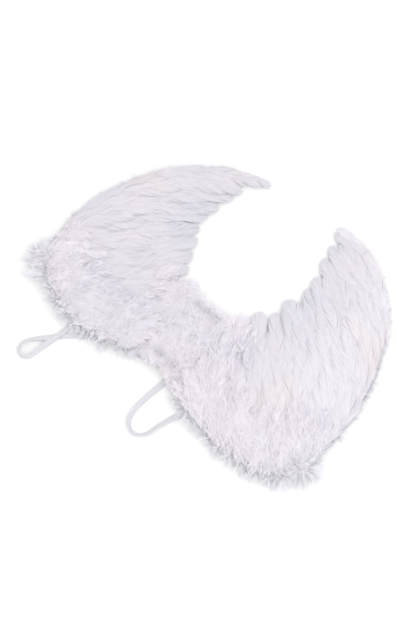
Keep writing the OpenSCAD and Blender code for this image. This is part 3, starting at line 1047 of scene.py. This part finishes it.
def stitches(line, pitch, length, z, step_in=2 * MM):
    """Whip stitches set in from a closed line in plan."""
    run = np.concatenate([[0], np.cumsum(np.linalg.norm(np.diff(line, axis=0), axis=1))])
    marks = np.arange(0, run[-1], pitch)
    spot = np.column_stack([np.interp(marks, run, line[:, i]) for i in (0, 1)])
    way = unit(np.gradient(spot, axis=0))
    inner = -beside(way)
    lean = unit(inner + 0.5 * way)
    t = np.linspace(0, 1, 5)
    plan = (spot + inner * step_in)[:, None] + lean[:, None] * (t * length)[None, :, None]
    height = z - 0.25 * MM * np.sin(np.pi * t)
    points = np.concatenate([plan, np.broadcast_to(height, plan.shape[:2])[..., None]], -1)
    side = np.column_stack([beside(lean), np.zeros(len(lean))])
    widths = np.full((len(spot), 5), 0.5 * MM) * np.array([0.4, 1, 1, 1, 0.4])
    return ribbons(points, widths, np.broadcast_to(side[:, None], points.shape),
                   np.full(widths.shape, 0.5))


# The wing board's base, outer and inner edges, which the felt follows
BOARD_EDGES = [
    [np.array([HINGE_X, -HINGE_Y]), at(80, -58), at(190, -108), at(246, -52)],
    [at(246, -52), at(300, 96), at(220, 270), at(92, 284)],
    [at(92, 284), at(150, 205), at(124, 66), np.array([HINGE_X, HINGE_Y])]]


def felt_outline():
    """The felt's outline in plan: the board's three edges, closed along the fold."""
    t = np.linspace(0, 1, 30, endpoint=False)
    upper, lower = BOARD_EDGES[2][-1], BOARD_EDGES[0][0]
    end = upper + (lower - upper) * np.linspace(0, 1, 9)[:-1, None]
    return np.vstack([bezier(c, t) for c in BOARD_EDGES] + [end])


def make_back_pad():
    """The felt-covered pad on the wearer's back, with the seam that quilts it."""
    low, high = box("back_pad")
    pad, groove = cushion(low, high)
    sewn = stitches(groove, 5 * MM, 2.6 * MM, low[2] + 0.45 * MM, step_in=0.0)
    piece = new_piece("quilted_back_pad", new_mesh("back_pad", [pad]), FELT, ["back_pad"])
    seam = new_piece("back_pad_seam", new_mesh("pad_seam", [sewn]), THREAD)
    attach(piece, "centre")
    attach(seam, "centre")


def make_fold_cloth(side):
    """The strip of cotton that carries the wing, glued to both boards across the fold."""
    low, high = box(f"{side}_hinge_flap")
    reach = high[0] - low[0]
    far = max(abs(low[0]), abs(high[0])) - 1 * MM
    near = 2 * FOLD_X - far
    y = np.linspace(low[1] + 2 * MM, high[1] - 2 * MM, 13)
    edge = np.concatenate([np.column_stack([np.full(len(y), near), y[::-1]]),
                           np.column_stack([np.full(len(y), far), y])])
    cloth = flat_cloth(edge, high[2] + 0.05 * MM, 0.35 * MM, cell=reach / 3, seed=9,
                       wave=0.04 * MM)
    strip = side_piece(side, "fold_cloth", [cloth], TAPE)
    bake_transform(strip)


def make_felt(side):
    """The felt on a wing's back, with the stitches around its edge."""
    low, high = box(f"{side}_back_felt")
    shape = felt_outline()
    sheet = flat_cloth(shape, low[2], high[2] - low[2])
    sewn = stitches(np.vstack([shape, shape[:1]]), 8 * MM, 5 * MM, low[2] - 0.15 * MM)
    felt = side_piece(side, "felt_backing", [sheet], FELT, [f"{side}_back_felt"])
    seam = side_piece(side, "felt_seam", [sewn], THREAD)
    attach(felt, f"{side}_wing")
    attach(seam, f"{side}_wing")


make_back_pad()
for side in SIDES:
    make_fold_cloth(side)
    make_felt(side)

# ---- hard parts keep their CAD shape

HARD = {"wing_board": BOARD, "centre_board": BOARD, "frame_wire": WIRE, "wire_tapes": TAPE,
        "hinge_flap": TAPE, "hinge_tape": TAPE, "strap_tabs": TAPE, "boa_cord": THREAD}

for node in frame["nodes"]:
    first, _, rest = node.partition("_")
    material, source = HARD.get(rest if first in SIDES else node), frame["nodes"][node]
    if material is None:
        continue
    if not source.material_slots:
        source.data.materials.append(None)
    for slot in source.material_slots:
        slot.link = "OBJECT"
        slot.material = material

# ---- light and floor

FLOOR_Z = -0.3 * MM   # just under the lowest point of the wings


def make_floor():
    m = Nodes("floor", roughness=0.9)
    speck = m.noise(30.0)
    m.colour(m.ramp(speck, [(0.0, (0.95, 0.95, 0.95)), (1.0, (0.98, 0.98, 0.98))]))
    bm = bmesh.new()
    bmesh.ops.create_grid(bm, x_segments=8, y_segments=8, size=4.0)
    mesh = bpy.data.meshes.new("floor")
    bm.to_mesh(mesh)
    bm.free()
    mesh.materials.append(m.material)
    floor = add_object("floor", mesh)
    floor.location.z = FLOOR_Z


def make_light(name, azimuth, elevation, distance, size, power):
    data = bpy.data.lights.new(name, "AREA")
    data.shape = "DISK"
    data.size = size
    data.energy = power
    aim(name, data, azimuth, elevation, distance)


def make_studio():
    world = bpy.data.worlds.new("studio")
    world.use_nodes = True
    sky = world.node_tree.nodes["Background"].inputs
    sky["Color"].default_value = (1, 1, 1, 1)
    sky["Strength"].default_value = 1.0
    bpy.context.scene.world = world
    make_light("key", 100, 55, 2.2, 1.6, 9)
    make_light("fill", -60, 60, 2.6, 1.8, 2)


bpy.context.scene.view_settings.view_transform = "Standard"
make_floor()
make_studio()
